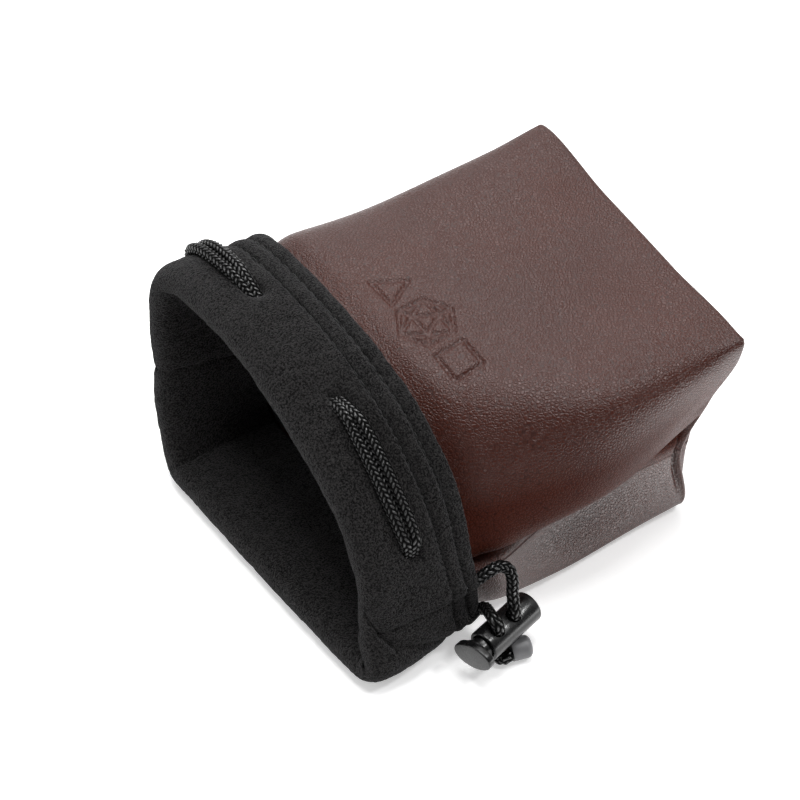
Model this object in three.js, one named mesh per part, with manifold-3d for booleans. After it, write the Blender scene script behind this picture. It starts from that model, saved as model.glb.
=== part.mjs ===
// A drawstring dice bag lying on its back: a boxed leatherette pouch with a fleece lining, a fleece
// collar round the mouth, a braided drawstring that runs twice round the collar, and a barrel cord lock.
// Millimetres. +Z is up, the mouth looks along -Y, the flat base looks along +Y, and the origin is on the
// table under the middle of the pouch.

import * as THREE from "three";
import { mergeVertices } from "three/addons/utils/BufferGeometryUtils.js";
import Module from "manifold-3d";

const wasm = await Module();
wasm.setup();

// ---- driving dimensions -------------------------------------------------------------------------

const MOUTH_Y = -64; // lower edge of the mouth
const SEAM_Y = -27; // where the collar ends on the leatherette
const MIDDLE_Y = 12;
const BASE_Y = 54; // foot of the base panel
const MOUTH_LEAN = 0.165; // the top of the mouth is set back by this much of its height
const MOUTH_SKEW = 0.045; // the mouth turns slightly across the width
const BASE_LEAN = 0.145; // the top of the base overhangs by this much of its height
const BASE_SKEW = -0.06; // the base edge turns slightly across the width
const PINCH_DEPTH = 9; // how far each folded side pulls the base seam in
const PINCH_Z = 25; // height of the side seam where it meets the base

const LEATHER = 1.4; // leatherette thickness
const LINING = 1.6; // lining fleece thickness
const FLEECE = 1.8; // collar fleece thickness
const GAP = 0.35; // air between collar and leatherette
const LINING_GAP = 1.1; // air between leatherette and lining
const COLLAR_OUT = GAP + FLEECE; // outer face of the collar, off the leatherette
const COLLAR_LIFT = 3.1; // the collar's thickness lifts the pouch off the table at the mouth
const LEATHER_TOP = -32; // the leatherette ends here, under the collar

const CORD_R = 1.7; // drawstring radius
const CORD_Y = -43.6; // the turn of the cord nearer the base
const TURN_SPACING = { outer: 3.6, inner: 0 }; // the outer turn lies this far beside it, towards the mouth
const CORD_INSIDE = -1.6; // cord centre below the section outline, inside the casing
const CORD_OUTSIDE = 4.9; // cord centre above the outline, where the cord shows
const SLOT_CLEARANCE = 0.45; // between the cord and the slots it passes through

const STITCH_Y = [-36, -31]; // the two rows of stitching on the collar
const GROOVE = 1; // how deep the stitching pulls the fleece in
const THREAD_R = 0.25;
const THREAD_CLEARANCE = 0.6; // thread above the bottom of its groove

const BARREL_R = 4.75;
const BARREL_LENGTH = 19.6;
const BARREL_BORE = 3.75;
const BARREL_BOTTOM = 1.6; // closed end of the barrel
const LOCK_HOLE_R = 2.2;
const LOCK_HOLES = [4.5, 11.3]; // cord holes, from the open end of the barrel
const HEAD_HALF = [7, 4.3]; // half length and half width of the oval press pad
const HEAD_TURN = 0.35; // radians from square to the cord holes to the pad's long way
const HEAD_THICKNESS = 2.2;
const NECK = 2.6; // plunger stem showing between pad and barrel
const STEM_R = 3.35;
const STEM_LENGTH = 14; // from the mouth of the barrel inwards
const LOCK_PRESS = 1.8; // travel of the plunger
const SPRING_WIRE = 0.3;
const SPRING_TURNS = 2.5;

const BELL_R = 3.3;
const BELL_LENGTH = 6;
const BELL_BORE = 2.6;
const KNOT_R = 2.2;

// ---- cross-sections ------------------------------------------------------------------------------
// Each ring starts at the right side seam, runs over the top to the left side seam, and returns along the
// table. Twelve [x, z] points: seam, swell, shoulder, top right, top left, shoulder, swell, seam,
// then floor corner, floor left, floor right, floor corner.

const SECTIONS = [
  { y: MOUTH_Y, ring: [[41.5, 17], [35.7, 33.5], [20.5, 49.2], [-2.6, 60], [-30.8, 68.1], [-61, 67],
    [-69, 57], [-64, 33], [-51, 6], [-30, -1.5], [24, -1.5], [47, 6]] },
  { y: SEAM_Y, ring: [[46.3, 22], [42, 35], [31, 50], [12, 65], [-20, 71.7], [-56.8, 68.3],
    [-64, 50], [-56, 30], [-50, 6], [-30, -1.5], [22, -1.5], [44.5, 5.5]] },
  { y: MIDDLE_Y, ring: [[39, 27], [52, 46], [45, 65], [18, 70], [-20, 71], [-54, 66],
    [-59, 47], [-46, 30], [-48, 3], [-30, -1.5], [22, -1.5], [43, 3]] },
  { y: BASE_Y, ring: [[44, PINCH_Z], [48, 46], [50, 69], [17, 70], [-17, 70], [-52, 70],
    [-48, 46], [-44, PINCH_Z], [-47, 3], [-30, -1.5], [22, -1.5], [44, 3]] },
];
const RIGHT_SEAM = 0;
const LEFT_SEAM = 7 / 12; // place of the left seam along a ring

// The table side of the pouch is flat, and steps up onto the collar near the mouth.
function floorZ(y) {
  return COLLAR_LIFT * (1 - smooth(SEAM_Y, SEAM_Y + 18, y));
}

function catmull(a, b, c, d, t) {
  return 0.5 * (2 * b + (c - a) * t + (2 * a - 5 * b + 4 * c - d) * t * t + (3 * b - a - 3 * c + d) * t ** 3);
}

function smooth(lo, hi, v) {
  const t = Math.min(1, Math.max(0, (v - lo) / (hi - lo)));
  return t * t * (3 - 2 * t);
}

// How far along the list of sections a ring at height-zero place y lies.
function sectionShare(y) {
  const last = SECTIONS.length - 1;
  for (let k = 0; k < last; k++)
    if (y <= SECTIONS[k + 1].y || k === last - 1)
      return k + (y - SECTIONS[k].y) / (SECTIONS[k + 1].y - SECTIONS[k].y);
  return last;
}

function alongSections(y, value) {
  const share = Math.max(0, Math.min(SECTIONS.length - 1, sectionShare(y)));
  const k = Math.min(SECTIONS.length - 2, Math.floor(share));
  const pick = (i) => value(Math.max(0, Math.min(SECTIONS.length - 1, i)));
  return catmull(pick(k - 1), pick(k), pick(k + 1), pick(k + 2), share - k);
}

// Where the base panel stands over (x, z): a leaning plane, pulled in at the two folded sides.
function basePlane(x, z) {
  const pinch = smooth(31, 44, Math.abs(x)) * Math.exp(-(((z - PINCH_Z) / 17) ** 2));
  return BASE_Y + BASE_LEAN * z + BASE_SKEW * x - PINCH_DEPTH * pinch;
}

// A point of the section outline. s runs 0 to 1 round the ring; out moves it off the leatherette.
function outline(y, s) {
  const n = SECTIONS[0].ring.length;
  const u = ((s % 1) + 1) % 1 * n;
  const i = Math.floor(u);
  const coordinate = (axis) => alongSections(y, (k) => {
    const ring = SECTIONS[k].ring;
    const at = (j) => ring[(j + n) % n][axis];
    return catmull(at(i - 1), at(i), at(i + 1), at(i + 2), u - i);
  });
  return new THREE.Vector2(coordinate(0), Math.max(floorZ(y), coordinate(1)));
}

function ringPoint(y, s, out = 0) {
  const step = 0.004;
  const p = outline(y, s);
  const tangent = outline(y, s + step).sub(outline(y, s - step)).normalize();
  const x = p.x + tangent.y * out;
  const z = p.y - tangent.x * out;
  const mouth = 1 - smooth(MOUTH_Y, SEAM_Y, y);
  const base = smooth(MIDDLE_Y, BASE_Y, y);
  const leaned = y + (MOUTH_LEAN * p.y + MOUTH_SKEW * p.x) * mouth + (basePlane(p.x, p.y) - BASE_Y) * base;
  return new THREE.Vector3(x, leaned, z);
}

// ---- solids ---------------------------------------------------------------------------------------

// A closed solid from rows of points, each row a closed loop, with a cap on the first and last row.
function gridSolid(rows, capOf = earCap) {
  const height = rows.length;
  const width = rows[0].length;
  const positions = rows.flat().flatMap((p) => [p.x, p.y, p.z]);
  const index = [];
  const at = (i, j) => i * width + (j % width);
  for (let i = 0; i < height - 1; i++)
    for (let j = 0; j < width; j++) {
      index.push(at(i, j), at(i, j + 1), at(i + 1, j + 1));
      index.push(at(i, j), at(i + 1, j + 1), at(i + 1, j));
    }
  for (const [a, b, c] of capOf(rows[0])) index.push(at(0, a), at(0, c), at(0, b));
  const end = height - 1;
  for (const [a, b, c] of capOf(rows[end])) index.push(at(end, a), at(end, b), at(end, c));
  return fromTriangles(positions, index);
}

// The cap of a loop that goes out along one line of points and back along another beside it.
function ladderCap(points) {
  const last = points.length - 1;
  return Array.from({ length: points.length / 2 - 1 }, (_, j) =>
    [[j, j + 1, last - j - 1], [j, last - j - 1, last - j]]).flat();
}

// A ring of points in its own best plane, for triangulating an end cap.
function flatten(points) {
  const normal = new THREE.Vector3();
  points.forEach((p, i) => normal.add(new THREE.Vector3().crossVectors(p, points[(i + 1) % points.length])));
  normal.normalize();
  const across = new THREE.Vector3().subVectors(points[1], points[0]);
  across.addScaledVector(normal, -across.dot(normal)).normalize();
  const up = new THREE.Vector3().crossVectors(normal, across);
  return points.map((p) => new THREE.Vector2(p.dot(across), p.dot(up)));
}

function earCap(points) {
  const flat = flatten(points);
  const turn = ([a, b, c]) => new THREE.Vector2().subVectors(flat[b], flat[a])
    .cross(new THREE.Vector2().subVectors(flat[c], flat[a]));
  return THREE.ShapeUtils.triangulateShape(flat, []).map((t) => (turn(t) < 0 ? t.toReversed() : t));
}

function fromTriangles(positions, index) {
  const soup = new THREE.BufferGeometry();
  soup.setAttribute("position", new THREE.Float32BufferAttribute(positions, 3));
  soup.setIndex(index);
  const merged = mergeVertices(soup, 1e-3);
  const kept = [];
  const old = merged.index.array;
  for (let i = 0; i < old.length; i += 3) {
    const [a, b, c] = [old[i], old[i + 1], old[i + 2]];
    if (a !== b && b !== c && a !== c) kept.push(a, b, c);
  }
  const vertProperties = new Float32Array(merged.attributes.position.array);
  const make = (triVerts) => new wasm.Manifold(new wasm.Mesh({ numProp: 3, vertProperties, triVerts }));
  const solid = make(new Uint32Array(kept));
  if (solid.volume() > 0) return solid;
  for (let i = 0; i < kept.length; i += 3) [kept[i], kept[i + 1]] = [kept[i + 1], kept[i]];
  return make(new Uint32Array(kept));
}

function toManifold(geometry, matrix = new THREE.Matrix4()) {
  const plain = geometry.clone();
  plain.deleteAttribute("normal");
  plain.deleteAttribute("uv");
  plain.applyMatrix4(matrix);
  const soup = plain.index ? plain : mergeVertices(plain);
  return fromTriangles(Array.from(soup.attributes.position.array), Array.from(soup.index.array));
}

function toGeometry(solid) {
  const { vertProperties, triVerts } = solid.getMesh();
  const geometry = new THREE.BufferGeometry();
  geometry.setAttribute("position", new THREE.BufferAttribute(vertProperties, 3));
  geometry.setIndex(new THREE.BufferAttribute(triVerts, 1));
  const faceted = geometry.toNonIndexed();
  faceted.computeVertexNormals();
  return faceted;
}

// A round cord along a list of points.
function cordSolid(points, radius, sides, segments) {
  const curve = new THREE.CatmullRomCurve3(points, false, "centripetal");
  const frames = curve.computeFrenetFrames(segments, false);
  const rows = [];
  for (let i = 0; i <= segments; i++) {
    const centre = curve.getPointAt(i / segments);
    rows.push(Array.from({ length: sides }, (_, j) => {
      const angle = (2 * Math.PI * j) / sides;
      return centre.clone()
        .addScaledVector(frames.normals[i], radius * Math.cos(angle))
        .addScaledVector(frames.binormals[i], radius * Math.sin(angle));
    }));
  }
  return gridSolid(rows);
}

// ---- the pouch ------------------------------------------------------------------------------------

const ACROSS = 22; // facets round each half
const SEAM_SLACK = 0.0014; // half the slit between front and back halves, as a share of the ring
const SEAM_SLIT = 0.2; // half the slit across the base
// The share of a ring that belongs to the front panel (over the top) and to the back panel (on the table).
const HALVES = {
  front: [RIGHT_SEAM + SEAM_SLACK, LEFT_SEAM - SEAM_SLACK],
  back: [LEFT_SEAM + SEAM_SLACK, 1 - SEAM_SLACK],
};

const WALL_Y = [LEATHER_TOP, -26.5, -18, -8.5, 8, 24, 38, 48]; // places of the rings along the walls

// Half of a boxed bag as a thick shell: walls from the top edge to the base, then half of the base panel.
function boxedHalf(half, outFace, thickness) {
  const [from, to] = HALVES[half];
  const seamZ = PINCH_Z + (half === "front" ? SEAM_SLIT : -SEAM_SLIT);
  const share = (i) => from + ((to - from) * i) / ACROSS;
  const face = (out) => {
    const rows = WALL_Y.map((y) => Array.from({ length: ACROSS + 1 }, (_, i) => ringPoint(y, share(i), out)));
    const rim = Array.from({ length: ACROSS + 1 }, (_, i) => ringPoint(BASE_Y, share(i), out));
    for (const inward of [0, 0.35, 0.7, 1])
      rows.push(rim.map((p, i) => {
        const x = THREE.MathUtils.lerp(p.x, THREE.MathUtils.lerp(rim[0].x, rim[ACROSS].x, i / ACROSS), inward);
        const z = THREE.MathUtils.lerp(p.z, seamZ, inward);
        return new THREE.Vector3(x, basePlane(x, z) + out, z);
      }));
    return rows;
  };
  const outer = face(outFace);
  const inner = face(outFace - thickness);
  return gridSolid(outer.map((row, k) => [...row, ...inner[k].toReversed()]), ladderCap);
}

// The slots can leave loose offcuts; the collar is the biggest piece.
function largest(solid) {
  return solid.decompose().reduce((best, piece) => (piece.volume() > best.volume() ? piece : best));
}

// A closed band profile of [y, distance off the outline] carried round one half of the mouth.
function bandSolid(profile, from, to, across) {
  const rows = [];
  for (let i = 0; i <= across; i++)
    rows.push(profile.map(([y, out]) => ringPoint(y, from + ((to - from) * i) / across, out)));
  return gridSolid(rows);
}

// The fleece collar, folded over at the mouth and sewn through below the cord.
const groove = (y) => [[y + 1.3, COLLAR_OUT], [y, COLLAR_OUT - GROOVE], [y - 1.3, COLLAR_OUT]];
const FOLD_PROFILE = [
  [SEAM_Y, GAP], [SEAM_Y, COLLAR_OUT], ...groove(STITCH_Y[1]), ...groove(STITCH_Y[0]),
  [-42, 2.7], [-50, 3], [MOUTH_Y + 4, 2.5], [MOUTH_Y + 0.8, 0.9], [MOUTH_Y, -1.8], [MOUTH_Y + 0.9, -4.6],
  [MOUTH_Y + 3.5, -6.05], [-46, -6.05], [-40, -4.7], [-35.5, -2.6], [-34.2, -0.8], [-33.4, GAP],
];
const CASING_PROFILE = [
  [-40.4, -1.2], [-42, 0.7], [-50, 1.1], [-55.3, 0.5], [-57.6, -1.9], [-55.6, -4.1], [-46, -4.25], [-42, -3.5],
];

// Where the cord shows on the outside of the collar, as shares of the ring.
const SHOWS = [[0.097, 0.2565], [0.3665, 0.47]];
const DIVE = 0.018; // share of the ring in which the cord passes through a slot

function cordOffset(s) {
  const shown = SHOWS.reduce((most, [a, b]) =>
    Math.max(most, smooth(a - DIVE, a + DIVE, s) * (1 - smooth(b - DIVE, b + DIVE, s))), 0);
  return THREE.MathUtils.lerp(CORD_INSIDE, CORD_OUTSIDE, shown);
}

function strandPoints(strand, from, to, count) {
  const inner = (s) => ringPoint(CORD_Y, s, cordOffset(s));
  return Array.from({ length: count + 1 }, (_, i) => {
    const s = from + ((to - from) * i) / count;
    const along = inner(s + 0.004).sub(inner(s - 0.004)).normalize();
    const beside = ringPoint(CORD_Y - 1, s, cordOffset(s)).sub(inner(s));
    beside.addScaledVector(along, -beside.dot(along)).normalize();
    return inner(s).addScaledVector(beside, TURN_SPACING[strand]);
  });
}

// From where to where each strand runs, as shares of the ring; the back inner one ends where a tail begins.
const RUNS = {
  front: { outer: [0.006, LEFT_SEAM - 0.003], inner: [0.006, LEFT_SEAM - 0.003] },
  back: { outer: [LEFT_SEAM + 0.003, 0.997], inner: [LEFT_SEAM + 0.003, 0.924] },
};

// ---- the lock -------------------------------------------------------------------------------------
// The barrel lies beside the pouch, held off the table by the cord ends under it.

const LOCK_MOUTH = new THREE.Vector3(59.3, -32.8, 11.3); // middle of the barrel's open end
const LOCK_AXIS = new THREE.Vector3(-0.2205, 0.9754, 0).normalize(); // open end towards closed end
const HOLE_UP = new THREE.Vector3(0.2366, 0.0535, 0.9702).normalize();
const LOCK_SIDE = new THREE.Vector3().crossVectors(LOCK_AXIS, HOLE_UP).normalize();
const LOCK_UP = new THREE.Vector3().crossVectors(LOCK_SIDE, LOCK_AXIS).normalize();
// Lock coordinates: x to the side, y up the cord holes, z along the barrel from its open end.
const LOCK_FRAME = new THREE.Matrix4().makeBasis(LOCK_SIDE, LOCK_UP, LOCK_AXIS).setPosition(LOCK_MOUTH);
const inLock = (x, y, z) => new THREE.Vector3(x, y, z).applyMatrix4(LOCK_FRAME);
const LATHE_TO_AXIS = new THREE.Matrix4().makeRotationX(Math.PI / 2);

function lathe(profile, sides, frame) {
  const geometry = new THREE.LatheGeometry(profile.map(([r, h]) => new THREE.Vector2(r, h)), sides);
  return toManifold(geometry, frame.clone().multiply(LATHE_TO_AXIS));
}

function crossHole(radius, z) {
  const rows = [-8, 8].map((y) => Array.from({ length: 12 }, (_, i) => {
    const angle = (2 * Math.PI * i) / 12;
    return inLock(radius * Math.cos(angle), y, z + radius * Math.sin(angle));
  }));
  return gridSolid(rows);
}

// A slot across the stem, long enough for the cord to stay clear through the plunger's travel.
function crossSlot(z) {
  const half = CORD_R + 0.25;
  const ends = [z - half - LOCK_PRESS, z + half];
  const rows = [-8, 8].map((y) => [[-half, ends[0]], [half, ends[0]], [half, ends[1]], [-half, ends[1]]]
    .map(([x, along]) => inLock(x, y, along)));
  return gridSolid(rows);
}

function lockBarrel() {
  const chamfer = 0.5;
  const shell = lathe([[BARREL_BORE, 0], [BARREL_R - chamfer, 0], [BARREL_R, chamfer],
    [BARREL_R, BARREL_LENGTH - chamfer], [BARREL_R - chamfer, BARREL_LENGTH], [0, BARREL_LENGTH],
    [0, BARREL_LENGTH - BARREL_BOTTOM], [BARREL_BORE, BARREL_LENGTH - BARREL_BOTTOM], [BARREL_BORE, 0]],
    24, LOCK_FRAME);
  return LOCK_HOLES.reduce((solid, z) => solid.subtract(crossHole(LOCK_HOLE_R, z)), shell);
}

function lockPlunger() {
  const oval = (inset, z) => Array.from({ length: 28 }, (_, i) => {
    const angle = (2 * Math.PI * i) / 28;
    const [halfLength, halfWidth] = HEAD_HALF;
    const point = new THREE.Vector2(
      (halfLength - inset) * Math.cos(angle), (halfWidth - inset) * Math.sin(angle));
    point.rotateAround(new THREE.Vector2(), HEAD_TURN);
    return inLock(point.x, point.y, z);
  });
  const back = -NECK;
  const front = back - HEAD_THICKNESS;
  const pad = gridSolid([oval(0.4, front), oval(0, front + 0.4), oval(0, back - 0.3), oval(0.3, back)]);
  const stem = lathe([[0, back - 0.5], [STEM_R, back - 0.5], [STEM_R, STEM_LENGTH], [0, STEM_LENGTH]],
    24, LOCK_FRAME);
  return LOCK_HOLES.reduce((solid, z) => solid.subtract(crossSlot(z)), pad.add(stem));
}

function lockSpring() {
  const low = STEM_LENGTH + 0.1 + SPRING_WIRE;
  const high = BARREL_LENGTH - BARREL_BOTTOM - 0.1 - SPRING_WIRE;
  const points = Array.from({ length: 41 }, (_, i) => {
    const angle = (2 * Math.PI * SPRING_TURNS * i) / 40;
    return inLock(2.5 * Math.cos(angle), 2.5 * Math.sin(angle), THREE.MathUtils.lerp(low, high, i / 40));
  });
  return cordSolid(points, SPRING_WIRE, 5, 40);
}

// ---- loose cord -----------------------------------------------------------------------------------

const holeAt = (k, up) => inLock(0, up, LOCK_HOLES[k]);
const onCollar = ([y, s, out]) => ringPoint(y, s, out);
const vec = ([x, y, z]) => new THREE.Vector3(x, y, z);

// From the casing, under the edge of the collar, over to the lock and through it.
const TAILS = [
  [
    ...[[CORD_Y, 0.938, CORD_INSIDE], [-42, 0.95, -1.5], [-38, 0.954, 0.3], [-33.5, 0.954, 2.5],
      [-28, 0.956, 2.7]].map(onCollar),
    ...[[51.4, -26.4, 15.4], [55, -27.6, 17.9], [58.2, -28.4, 18.9]].map(vec),
    ...[6.2, 3, 0, -5].map((up) => holeAt(0, up)),
  ],
  [
    ...[[CORD_Y, 0.991, CORD_INSIDE], [-42, 0.991, -1.5], [-38, 0.997, 0.3], [-33.5, 1.008, 2.5],
      [-28, 1.014, 2.7]].map(onCollar),
    ...[[49, -23.4, 27.2], [49.3, -20.2, 27.4], [51, -18.4, 26.2], [53, -18.6, 24], [55, -20, 21.6],
      [57.2, -21.1, 19.4]].map(vec),
    ...[6.2, 3, 0, -5].map((up) => holeAt(1, up)),
  ],
];

const BELL_MOUTH = new THREE.Vector3(60, -23.7, 3.4);
const BELL_AXIS = new THREE.Vector3(0.3, 0.954, 0).normalize();
const BELL_SIDE = new THREE.Vector3(0.954, -0.3, 0).normalize();
const BELL_UP = new THREE.Vector3().crossVectors(BELL_AXIS, BELL_SIDE);
const BELL_FRAME = new THREE.Matrix4().makeBasis(BELL_SIDE, BELL_UP, BELL_AXIS).setPosition(BELL_MOUTH);
const inBell = (x, y, z) => new THREE.Vector3(x, y, z).applyMatrix4(BELL_FRAME);

// Under the barrel and round into the cord end.
const ENDS = [
  [...[-5.3, -6].map((up) => holeAt(0, up)),
    ...[[57.3, -28.5, 3.1], [59.3, -27.4, 2.1], [60.9, -26.2, 2.6]].map(vec),
    ...[-1.6, -0.3].map((z) => inBell(1.78, 0, z))],
  [...[-5.3, -6].map((up) => holeAt(1, up)),
    ...[[55.1, -23.2, 3.3], [56, -24.6, 2.3], [57.3, -24.7, 2.6]].map(vec),
    ...[-1, -0.3].map((z) => inBell(-1.78, 0, z))],
];

function bell() {
  const floor = 1.1;
  return lathe([[BELL_BORE, 0], [BELL_R - 0.3, 0], [BELL_R, 0.4], [BELL_R, BELL_LENGTH - 1.2],
    [BELL_R - 1.1, BELL_LENGTH], [0, BELL_LENGTH], [0, BELL_LENGTH - floor],
    [BELL_BORE - 0.8, BELL_LENGTH - floor], [BELL_BORE, BELL_LENGTH - floor - 0.8], [BELL_BORE, 0]],
    20, BELL_FRAME);
}

function knot() {
  const ball = new THREE.SphereGeometry(KNOT_R, 14, 9);
  return toManifold(ball, new THREE.Matrix4().setPosition(inBell(0, 0, 2.6)));
}

// ---- the nodes ------------------------------------------------------------------------------------

const material = (color, roughness, metalness = 0) =>
  new THREE.MeshStandardMaterial({ color, roughness, metalness });
const MATERIALS = {
  leather: material(0x3a211d, 0.45),
  fleece: material(0x232223, 1),
  cord: material(0x0e0e0f, 0.55),
  lock: material(0x1d1d1f, 0.32, 0.1),
  end: material(0x7d7d7f, 0.4, 0.2),
  steel: material(0xb8b8b8, 0.3, 1),
};

const bag = new THREE.Group();

function add(name, solid, slot) {
  const mesh = new THREE.Mesh(toGeometry(solid), MATERIALS[slot]);
  mesh.name = name;
  bag.add(mesh);
}

const cord = (points, radius = CORD_R, sides = 6, perPoint = 2) =>
  cordSolid(points, radius, sides, points.length * perPoint);
const slotR = CORD_R + SLOT_CLEARANCE;

for (const half of ["front", "back"]) {
  add(`leather_${half}_panel`, boxedHalf(half, 0, LEATHER), "leather");
  add(`lining_${half}_panel`, boxedHalf(half, -LEATHER - LINING_GAP, LINING), "fleece");
}

for (const half of ["front", "back"]) {
  const [from, to] = HALVES[half];
  const casing = bandSolid(CASING_PROFILE, from - 0.004, to + 0.004, ACROSS);
  let collar = bandSolid(FOLD_PROFILE, from, to, ACROSS).subtract(casing);
  for (const [strand, [a, b]] of Object.entries(RUNS[half])) {
    const path = strandPoints(strand, a, b, half === "front" ? 40 : 20);
    add(`drawstring_${half}_${strand}_turn`, cord(path, CORD_R, 6, 1), "cord");
    if (half === "front") collar = collar.subtract(cord(path, slotR, 6, 1));
  }
  for (const tail of TAILS) collar = collar.subtract(cord(tail.slice(0, 6), slotR));
  add(`collar_${half}`, largest(collar), "fleece");
  const [start, stop] = half === "front" ? [0.033, to - 0.002] : [from + 0.002, 0.928];
  const out = COLLAR_OUT - GROOVE + THREAD_R + THREAD_CLEARANCE;
  STITCH_Y.forEach((y, row) => {
    const line = Array.from({ length: 21 }, (_, i) => ringPoint(y, start + ((stop - start) * i) / 20, out));
    add(`collar_${half}_stitching_${row + 1}`, cord(line, THREAD_R, 4, 1), "cord");
  });
}

TAILS.forEach((points, k) => add(`drawstring_tail_${k + 1}`, cord(points), "cord"));
ENDS.forEach((points, k) => add(`drawstring_end_${k + 1}`, cord(points), "cord"));
add("lock_barrel", lockBarrel(), "lock");
add("lock_plunger", lockPlunger(), "lock");
add("lock_spring", lockSpring(), "steel");
add("cord_end_bell", bell(), "end");
add("cord_end_knot", knot(), "cord");

export default bag;
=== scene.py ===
"""Looks for a drawstring dice bag lying on its back: leatherette, fleece, braided cord and a barrel lock.

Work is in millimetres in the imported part's frame (+Z up, mouth towards -Y); MM turns it into metres.
"""
import math

import bmesh
import bpy
import numpy as np
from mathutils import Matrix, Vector, noise


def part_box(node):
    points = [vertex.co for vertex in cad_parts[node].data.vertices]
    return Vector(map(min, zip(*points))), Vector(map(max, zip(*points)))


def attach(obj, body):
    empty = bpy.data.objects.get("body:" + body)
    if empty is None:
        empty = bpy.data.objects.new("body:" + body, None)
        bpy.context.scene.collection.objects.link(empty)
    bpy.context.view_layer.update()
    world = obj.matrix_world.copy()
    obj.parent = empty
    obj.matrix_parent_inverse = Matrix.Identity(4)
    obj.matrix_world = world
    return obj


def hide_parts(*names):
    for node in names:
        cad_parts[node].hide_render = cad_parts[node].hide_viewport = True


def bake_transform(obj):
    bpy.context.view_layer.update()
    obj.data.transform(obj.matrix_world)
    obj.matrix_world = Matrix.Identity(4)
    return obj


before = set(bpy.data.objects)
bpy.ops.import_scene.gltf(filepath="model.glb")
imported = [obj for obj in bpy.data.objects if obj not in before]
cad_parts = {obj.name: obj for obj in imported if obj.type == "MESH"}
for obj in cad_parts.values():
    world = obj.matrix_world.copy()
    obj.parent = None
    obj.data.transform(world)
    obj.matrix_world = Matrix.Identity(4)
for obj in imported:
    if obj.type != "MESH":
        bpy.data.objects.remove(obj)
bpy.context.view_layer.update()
MM = 0.001


def low(node):
    return np.array(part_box(node)[0]) / MM


def high(node):
    return np.array(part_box(node)[1]) / MM


# ---- sizes, from the frame's boxes where they can be read there ---------------------------------

SEAM_Y = high("collar_back")[1]  # the collar ends here on the leatherette
LEATHER_TOP = low("leather_back_panel")[1]
MOUTH_Y = SEAM_Y - 37.0  # middle of the folded mouth edge
MIDDLE_Y = SEAM_Y + 39.0
BASE_Y = SEAM_Y + 81.0
MOUTH_LEAN, MOUTH_SKEW = 0.165, 0.045
BASE_LEAN, BASE_SKEW = 0.145, -0.085
PINCH_DEPTH, PINCH_Z = 4.5, 25.0
COLLAR_LIFT = 3.1  # the collar under the pouch holds its floor up this far
LEATHER = 1.4
LINING_OUT = -2.9  # outer face of the lining, off the leatherette
LINING = 1.6
BASE_ROUND = 1.5  # radius of the soft edge round the base
BASE_BULGE = 4.0
WALL_END = BASE_Y - BASE_ROUND - 0.6  # the walls' last row before the rounded edge
LEFT_SEAM = 7 / 12
# Top corners of the base: share of the ring, and how far they stand out.
CORNERS = [(2 / 12, 3.0), (5 / 12, 0.8)]

CORD_R = 1.78
CORD_Y = -43.8
TURN_SPACING = 3.25
SHOWS = [(0.097, 0.2565), (0.3665, 0.47)]  # where the cord shows, as shares of the ring
DIVE = 0.02  # share of the ring over which the cord goes through a slot

# [x, z] of the right seam, swell, shoulder, top right, top left, shoulder, swell, left seam,
# floor corner, floor left, floor right, floor corner.
SECTIONS = [
    (MOUTH_Y, [(41.5, 17), (35.7, 33.5), (20.5, 49.2), (-2.6, 60), (-30.8, 68.1), (-61, 67),
               (-69, 57), (-64, 33), (-51, 6), (-30, -1.5), (24, -1.5), (47, 6)]),
    (SEAM_Y, [(46.3, 22), (42, 35), (31, 50), (12, 65), (-20, 71.7), (-56.8, 68.3),
              (-64, 50), (-56, 30), (-50, 6), (-30, -1.5), (22, -1.5), (44.5, 5.5)]),
    (MIDDLE_Y, [(39.5, 21), (53.5, 40), (45.5, 65), (18, 70), (-20, 71), (-54, 66),
                (-59, 47), (-46, 30), (-48, 3), (-30, -1.5), (22, -1.5), (46, 3)]),
    (BASE_Y, [(44, PINCH_Z), (46.5, 45), (50, 69), (17, 70), (-17, 70), (-50.5, 70),
              (-48, 46), (-44, PINCH_Z), (-48, 3), (-30, -1.5), (22, -1.5), (46, 3)]),
]
SECTION_Y = np.array([y for y, _ in SECTIONS])
SECTION_POINTS = np.array([points for _, points in SECTIONS], float)


# ---- the pouch's surface --------------------------------------------------------------------------

def smooth(lo, hi, v):
    t = np.clip((v - lo) / (hi - lo), 0, 1)
    return t * t * (3 - 2 * t)


def catmull_weights(t):
    return 0.5 * np.array([-t + 2 * t**2 - t**3, 2 - 5 * t**2 + 3 * t**3,
                           t + 4 * t**2 - 3 * t**3, -t**2 + t**3])


def outline(y, s):
    """[x, z] of the pouch's cross-section at y and ring share s; both are arrays of one shape."""
    count = SECTION_POINTS.shape[1]
    u = (s % 1) * count
    i = np.floor(u).astype(int)
    across = catmull_weights(u - i)
    place = np.interp(y, SECTION_Y, np.arange(len(SECTION_Y)))
    k = np.minimum(np.floor(place).astype(int), len(SECTION_Y) - 2)
    along = catmull_weights(place - k)
    xz = np.zeros(y.shape + (2,))
    for a in range(4):
        section = np.clip(k - 1 + a, 0, len(SECTION_Y) - 1)
        for b in range(4):
            xz += (along[a] * across[b])[..., None] * SECTION_POINTS[section, (i - 1 + b) % count]
    floor = COLLAR_LIFT * (1 - smooth(SEAM_Y, SEAM_Y + 18, y))
    xz[..., 1] = np.maximum(floor, xz[..., 1])
    return xz


def base_plane(x, z):
    pinch = smooth(35, 45, np.abs(x)) * np.exp(-((z - PINCH_Z) / 15) ** 2)
    return BASE_Y + BASE_LEAN * z + BASE_SKEW * x - PINCH_DEPTH * pinch


def base_bulge(x, z):
    """How far the stuffed base stands out of its plane."""
    across, up = np.clip(np.abs(x) / 47, 0, 1), np.clip(np.abs(z - 34) / 36, 0, 1)
    return BASE_BULGE * (1 - across**6) * (1 - up**3)


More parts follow.
